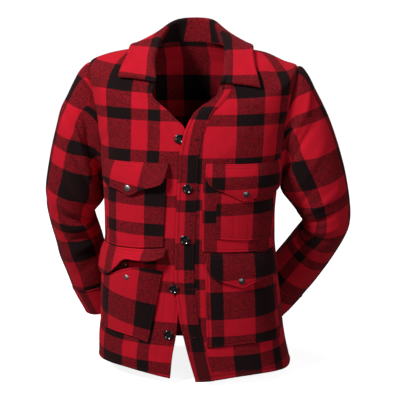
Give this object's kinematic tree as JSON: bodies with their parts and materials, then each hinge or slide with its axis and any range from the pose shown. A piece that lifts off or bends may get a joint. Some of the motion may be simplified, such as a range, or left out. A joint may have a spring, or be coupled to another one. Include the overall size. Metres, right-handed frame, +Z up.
{
  "type": "mackinaw jacket",
  "caption": "Wool mackinaw jacket in a buffalo plaid, filled out with no wearer, with patch pockets under snap flaps, a fall collar, a buttoned front and cuffed sleeves bent at the elbow.",
  "frame": {"origin": "the neck point midway between the two shoulder seams, where the wearer's neck and shoulders hold the jacket", "axes": "+Z up towards the collar, the front faces -Y, +X towards the wearer's left"},
  "size_m": [0.724, 0.3721, 0.8136],
  "materials": {
    "wool": "thick napped wool twill in a buffalo plaid",
    "button": "polished black",
    "snap": "worn nickel",
    "socket": "worn brass"
  },
  "bodies": {
    "root": {"front_right": "wool", "front_left": "wool", "back": "wool", "sleeve_right": "wool", "sleeve_left": "wool", "cuff_right": "wool", "cuff_left": "wool", "collar": "wool", "front_band": "wool", "chest_pocket_right": "wool", "chest_flap_right": "wool", "lower_pocket_right": "wool", "lower_flap_right": "wool", "chest_pocket_left": "wool", "pencil_pocket_left": "wool", "chest_flap_left": "wool", "lower_pocket_left": "wool", "lower_flap_left": "wool", "button_1": "button", "button_2": "button", "button_3": "button", "button_4": "button", "button_5": "button", "snap_chest_right": "snap", "snap_chest_left": "snap", "snap_lower_left": "snap", "snap_stud_right": "snap", "snap_socket_right": "socket"}
  },
  "joints": []
}
